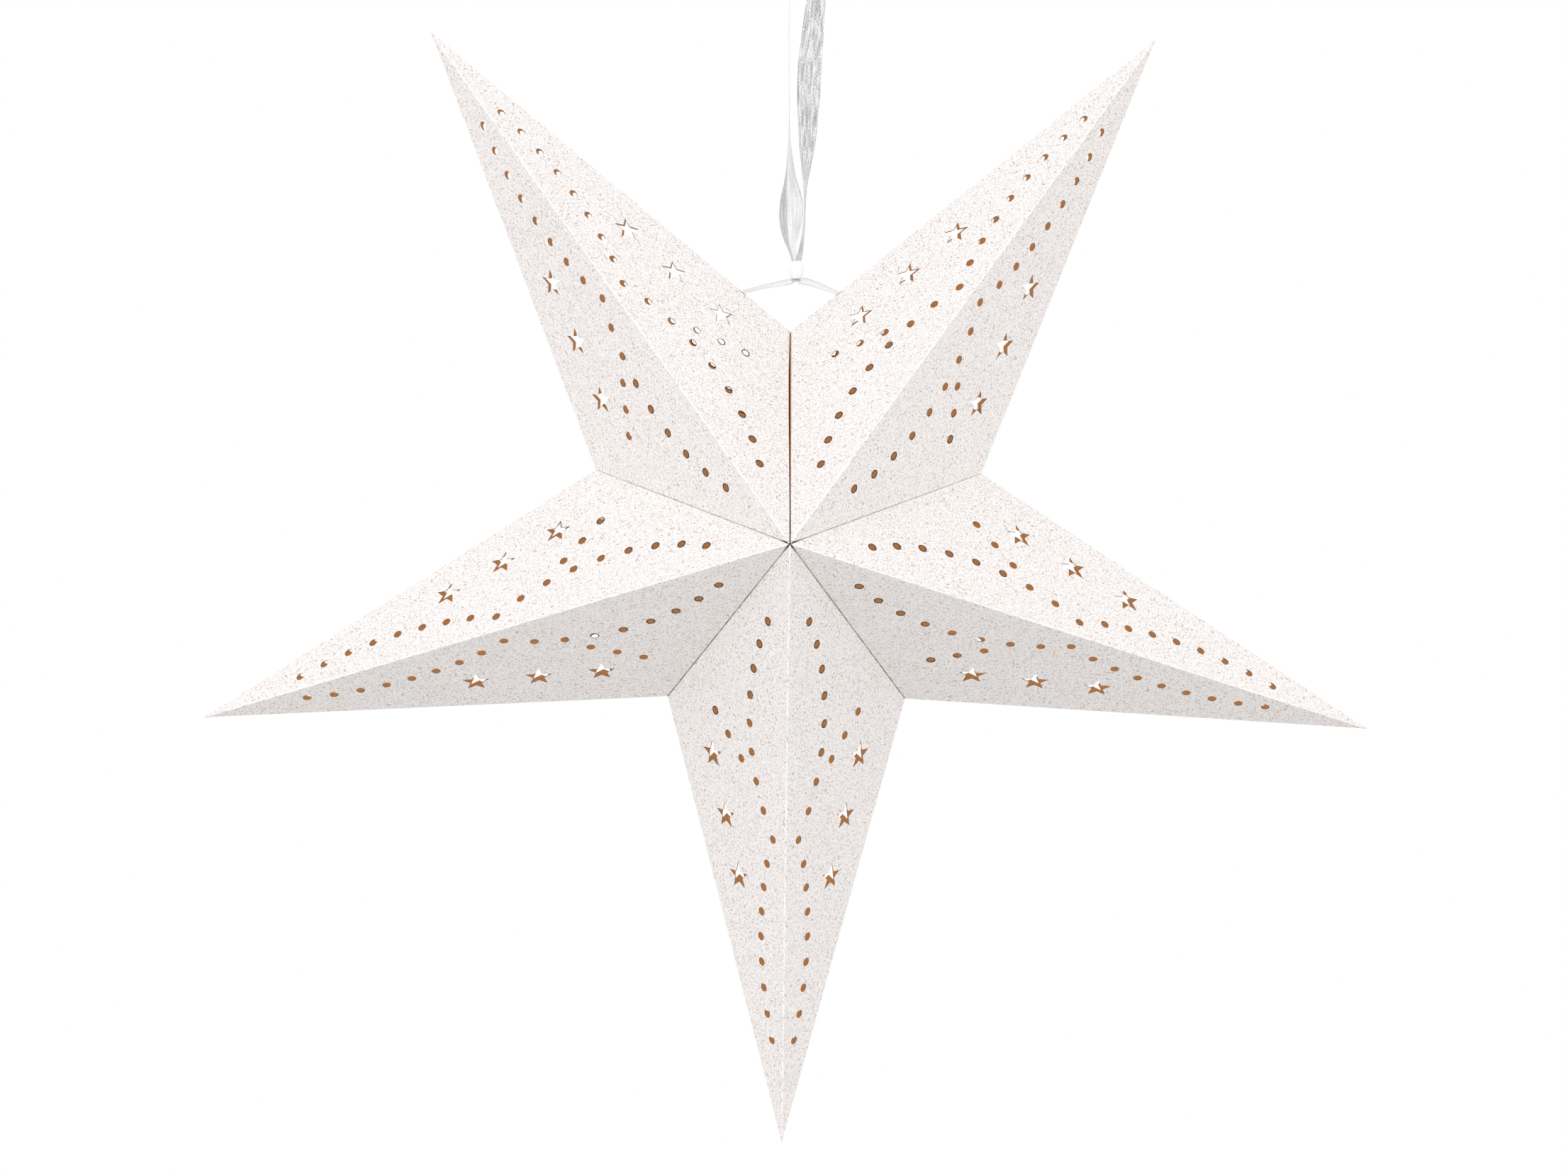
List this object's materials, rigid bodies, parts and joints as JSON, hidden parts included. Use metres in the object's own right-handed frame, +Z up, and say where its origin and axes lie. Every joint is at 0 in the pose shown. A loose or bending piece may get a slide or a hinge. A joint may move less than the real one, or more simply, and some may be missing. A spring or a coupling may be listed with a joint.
{
  "type": "folding paper star lantern",
  "caption": "Hanging fold-flat paper star lantern of creased, punched card panels, held open by a ribbon with a sliding bead.",
  "frame": {"origin": "where a hook carries the ribbon's loop, above the star", "axes": "+Z up, +Y from the star's front towards its back, +X across the star to the right as seen from the front"},
  "size_m": [0.5946, 0.2069, 0.6159],
  "materials": {
    "card": "white card with a fine dark fleck outside and natural brown inside",
    "card_flange": "natural brown card, unprinted",
    "ribbon": "sheer silver-grey organza with lengthwise threads",
    "bead": "white painted"
  },
  "bodies": {
    "point_1_front_right": {"point_1_front_right_panel": "card", "ribbon_loop": "ribbon", "ribbon_gathered": "ribbon", "ribbon_leg_left": "ribbon", "ribbon_knot_left": "ribbon"},
    "point_1_front_left": {"point_1_front_left_panel": "card"},
    "front_seam_1_2": {"front_seam_1_2": "card_flange"},
    "point_1_back_right": {"point_1_back_right_panel": "card"},
    "point_1_back_left": {"point_1_back_left_panel": "card"},
    "back_seam_1_2": {"back_seam_1_2": "card_flange"},
    "point_2_front_right": {"point_2_front_right_panel": "card"},
    "point_2_front_left": {"point_2_front_left_panel": "card"},
    "front_seam_2_3": {"front_seam_2_3": "card_flange"},
    "point_2_back_right": {"point_2_back_right_panel": "card"},
    "point_2_back_left": {"point_2_back_left_panel": "card"},
    "back_seam_2_3": {"back_seam_2_3": "card_flange"},
    "point_3_front_right": {"point_3_front_right_panel": "card"},
    "point_3_front_left": {"point_3_front_left_panel": "card"},
    "front_seam_3_4": {"front_seam_3_4": "card_flange"},
    "point_3_back_right": {"point_3_back_right_panel": "card"},
    "point_3_back_left": {"point_3_back_left_panel": "card"},
    "back_seam_3_4": {"back_seam_3_4": "card_flange"},
    "point_4_front_right": {"point_4_front_right_panel": "card"},
    "point_4_front_left": {"point_4_front_left_panel": "card"},
    "front_seam_4_5": {"front_seam_4_5": "card_flange"},
    "point_4_back_right": {"point_4_back_right_panel": "card"},
    "point_4_back_left": {"point_4_back_left_panel": "card"},
    "back_seam_4_5": {"back_seam_4_5": "card_flange"},
    "point_5_front_right": {"point_5_front_right_panel": "card"},
    "point_5_front_left": {"point_5_front_left_panel": "card", "ribbon_leg_right": "ribbon", "ribbon_knot_right": "ribbon"},
    "point_5_back_right": {"point_5_back_right_panel": "card"},
    "point_5_back_left": {"point_5_back_left_panel": "card"},
    "front_slit_tab_left": {"front_slit_tab_left": "card_flange"},
    "front_slit_tab_right": {"front_slit_tab_right": "card_flange"},
    "back_slit_tab_left": {"back_slit_tab_left": "card_flange"},
    "back_slit_tab_right": {"back_slit_tab_right": "card_flange"},
    "ribbon_bead": {"ribbon_bead": "bead"}
  },
  "joints": [
    {"name": "fold", "type": "hinge", "parent": "point_1_front_right", "child": "point_1_front_left", "pos_m": [-0.00788, -0.10441, -0.30316], "axis": [0.5576, -0.3162, -0.7675], "range_deg": [0, 75.4]},
    {"name": "front_seam_1_2", "type": "hinge", "parent": "point_1_front_left", "child": "front_seam_1_2", "pos_m": [-0.008, -0.105, -0.303], "axis": [-0.6693, 0.7105, 0.2175], "range_deg": [0, 58.44]},
    {"name": "rim_1_right", "type": "hinge", "parent": "point_1_front_right", "child": "point_1_back_right", "pos_m": [-0.19315, 0, -0.04816], "axis": [0.7753, 0, -0.6316], "range_deg": [0, 73.44]},
    {"name": "rim_1_left", "type": "hinge", "parent": "point_1_front_left", "child": "point_1_back_left", "pos_m": [-0.19315, 0, -0.04816], "axis": [-0.3611, 0, 0.9325], "range_deg": [0, 73.44]},
    {"name": "back_seam_1_2", "type": "hinge", "parent": "point_1_back_left", "child": "back_seam_1_2", "pos_m": [-0.008, 0.105, -0.303], "axis": [0.6693, 0.7105, -0.2175], "range_deg": [0, 58.44]},
    {"name": "valley_1_2", "type": "hinge", "parent": "point_1_front_left", "child": "point_2_front_right", "pos_m": [-0.008, -0.105, -0.303], "axis": [-0.6693, 0.7105, 0.2175], "range_deg": [0, 116.87]},
    {"name": "ridge_2", "type": "hinge", "parent": "point_2_front_right", "child": "point_2_front_left", "pos_m": [-0.00781, -0.10441, -0.30294], "axis": [0.9023, -0.3162, 0.2932], "range_deg": [0, 75.4]},
    {"name": "front_seam_2_3", "type": "hinge", "parent": "point_2_front_left", "child": "front_seam_2_3", "pos_m": [-0.008, -0.105, -0.303], "axis": [-0.4136, 0.7105, -0.5693], "range_deg": [0, 58.44]},
    {"name": "rim_2_right", "type": "hinge", "parent": "point_2_front_right", "child": "point_2_back_right", "pos_m": [-0.30758, 0, -0.40034], "axis": [0.8403, 0, 0.5422], "range_deg": [0, 73.44]},
    {"name": "rim_2_left", "type": "hinge", "parent": "point_2_front_left", "child": "point_2_back_left", "pos_m": [-0.30758, 0, -0.40034], "axis": [-0.9985, 0, -0.0553], "range_deg": [0, 73.44]},
    {"name": "back_seam_2_3", "type": "hinge", "parent": "point_2_back_left", "child": "back_seam_2_3", "pos_m": [-0.008, 0.105, -0.303], "axis": [0.4136, 0.7105, 0.5693], "range_deg": [0, 58.44]},
    {"name": "valley_2_3", "type": "hinge", "parent": "point_2_front_left", "child": "point_3_front_right", "pos_m": [-0.008, -0.105, -0.303], "axis": [-0.4136, 0.7105, -0.5693], "range_deg": [0, 116.87]},
    {"name": "ridge_3", "type": "hinge", "parent": "point_3_front_right", "child": "point_3_front_left", "pos_m": [-0.008, -0.10441, -0.3028], "axis": [0, -0.3162, 0.9487], "range_deg": [0, 75.4]},
    {"name": "front_seam_3_4", "type": "hinge", "parent": "point_3_front_left", "child": "front_seam_3_4", "pos_m": [-0.008, -0.105, -0.303], "axis": [0.4136, 0.7105, -0.5693], "range_deg": [0, 58.44]},
    {"name": "rim_3_right", "type": "hinge", "parent": "point_3_front_right", "child": "point_3_back_right", "pos_m": [-0.008, 0, -0.618], "axis": [-0.256, 0, 0.9667], "range_deg": [0, 73.44]},
    {"name": "rim_3_left", "type": "hinge", "parent": "point_3_front_left", "child": "point_3_back_left", "pos_m": [-0.008, 0, -0.618], "axis": [-0.256, 0, -0.9667], "range_deg": [0, 73.44]},
    {"name": "back_seam_3_4", "type": "hinge", "parent": "point_3_back_left", "child": "back_seam_3_4", "pos_m": [-0.008, 0.105, -0.303], "axis": [-0.4136, 0.7105, 0.5693], "range_deg": [0, 58.44]},
    {"name": "valley_3_4", "type": "hinge", "parent": "point_3_front_left", "child": "point_4_front_right", "pos_m": [-0.008, -0.105, -0.303], "axis": [0.4136, 0.7105, -0.5693], "range_deg": [0, 116.87]},
    {"name": "ridge_4", "type": "hinge", "parent": "point_4_front_right", "child": "point_4_front_left", "pos_m": [-0.00819, -0.10441, -0.30294], "axis": [-0.9023, -0.3162, 0.2932], "range_deg": [0, 75.4]},
    {"name": "front_seam_4_5", "type": "hinge", "parent": "point_4_front_left", "child": "front_seam_4_5", "pos_m": [-0.008, -0.105, -0.303], "axis": [0.6693, 0.7105, 0.2175], "range_deg": [0, 58.44]},
    {"name": "rim_4_right", "type": "hinge", "parent": "point_4_front_right", "child": "point_4_back_right", "pos_m": [0.29158, 0, -0.40034], "axis": [-0.9985, 0, 0.0553], "range_deg": [0, 73.44]},
    {"name": "rim_4_left", "type": "hinge", "parent": "point_4_front_left", "child": "point_4_back_left", "pos_m": [0.29158, 0, -0.40034], "axis": [0.8403, 0, -0.5422], "range_deg": [0, 73.44]},
    {"name": "back_seam_4_5", "type": "hinge", "parent": "point_4_back_left", "child": "back_seam_4_5", "pos_m": [-0.008, 0.105, -0.303], "axis": [-0.6693, 0.7105, -0.2175], "range_deg": [0, 58.44]},
    {"name": "valley_4_5", "type": "hinge", "parent": "point_4_front_left", "child": "point_5_front_right", "pos_m": [-0.008, -0.105, -0.303], "axis": [0.6693, 0.7105, 0.2175], "range_deg": [0, 116.87]},
    {"name": "ridge_5", "type": "hinge", "parent": "point_5_front_right", "child": "point_5_front_left", "pos_m": [-0.00812, -0.10441, -0.30316], "axis": [-0.5576, -0.3162, -0.7675], "range_deg": [0, 75.4]},
    {"name": "rim_5_right", "type": "hinge", "parent": "point_5_front_right", "child": "point_5_back_right", "pos_m": [0.17715, 0, -0.04816], "axis": [-0.3611, 0, -0.9325], "range_deg": [0, 73.44]},
    {"name": "rim_5_left", "type": "hinge", "parent": "point_5_front_left", "child": "point_5_back_left", "pos_m": [0.17715, 0, -0.04816], "axis": [0.7753, 0, 0.6316], "range_deg": [0, 73.44]},
    {"name": "front_slit_tab_left", "type": "hinge", "parent": "point_1_front_right", "child": "front_slit_tab_left", "pos_m": [-0.00869, -0.10528, -0.30272], "axis": [0, -0.7105, -0.7037], "range_deg": [0, 58.44]},
    {"name": "front_slit_tab_right", "type": "hinge", "parent": "point_5_front_left", "child": "front_slit_tab_right", "pos_m": [-0.00731, -0.10528, -0.30272], "axis": [0, 0.7105, 0.7037], "range_deg": [0, 58.44]},
    {"name": "back_slit_tab_left", "type": "hinge", "parent": "point_1_back_right", "child": "back_slit_tab_left", "pos_m": [-0.00869, 0.10528, -0.30272], "axis": [0, -0.7105, 0.7037], "range_deg": [0, 58.44]},
    {"name": "back_slit_tab_right", "type": "hinge", "parent": "point_5_back_left", "child": "back_slit_tab_right", "pos_m": [-0.00731, 0.10528, -0.30272], "axis": [0, 0.7105, -0.7037], "range_deg": [0, 58.44]},
    {"name": "bead_slide", "type": "slide", "parent": "point_1_front_right", "child": "ribbon_bead", "axis": [0, 0, 1], "range_m": [0, 0.06], "deforming": ["ribbon_loop"]}
  ],
  "couplings": [
    {"joint": "front_seam_1_2", "follows": "fold", "ratio": 0.775},
    {"joint": "rim_1_right", "follows": "fold", "ratio": 0.974},
    {"joint": "rim_1_left", "follows": "fold", "ratio": 0.974},
    {"joint": "back_seam_1_2", "follows": "fold", "ratio": 0.775},
    {"joint": "valley_1_2", "follows": "fold", "ratio": 1.55},
    {"joint": "ridge_2", "follows": "fold", "ratio": 1},
    {"joint": "front_seam_2_3", "follows": "fold", "ratio": 0.775},
    {"joint": "rim_2_right", "follows": "fold", "ratio": 0.974},
    {"joint": "rim_2_left", "follows": "fold", "ratio": 0.974},
    {"joint": "back_seam_2_3", "follows": "fold", "ratio": 0.775},
    {"joint": "valley_2_3", "follows": "fold", "ratio": 1.55},
    {"joint": "ridge_3", "follows": "fold", "ratio": 1},
    {"joint": "front_seam_3_4", "follows": "fold", "ratio": 0.775},
    {"joint": "rim_3_right", "follows": "fold", "ratio": 0.974},
    {"joint": "rim_3_left", "follows": "fold", "ratio": 0.974},
    {"joint": "back_seam_3_4", "follows": "fold", "ratio": 0.775},
    {"joint": "valley_3_4", "follows": "fold", "ratio": 1.55},
    {"joint": "ridge_4", "follows": "fold", "ratio": 1},
    {"joint": "front_seam_4_5", "follows": "fold", "ratio": 0.775},
    {"joint": "rim_4_right", "follows": "fold", "ratio": 0.974},
    {"joint": "rim_4_left", "follows": "fold", "ratio": 0.974},
    {"joint": "back_seam_4_5", "follows": "fold", "ratio": 0.775},
    {"joint": "valley_4_5", "follows": "fold", "ratio": 1.55},
    {"joint": "ridge_5", "follows": "fold", "ratio": 1},
    {"joint": "rim_5_right", "follows": "fold", "ratio": 0.974},
    {"joint": "rim_5_left", "follows": "fold", "ratio": 0.974},
    {"joint": "front_slit_tab_left", "follows": "fold", "ratio": 0.775},
    {"joint": "front_slit_tab_right", "follows": "fold", "ratio": 0.775},
    {"joint": "back_slit_tab_left", "follows": "fold", "ratio": 0.775},
    {"joint": "back_slit_tab_right", "follows": "fold", "ratio": 0.775}
  ]
}
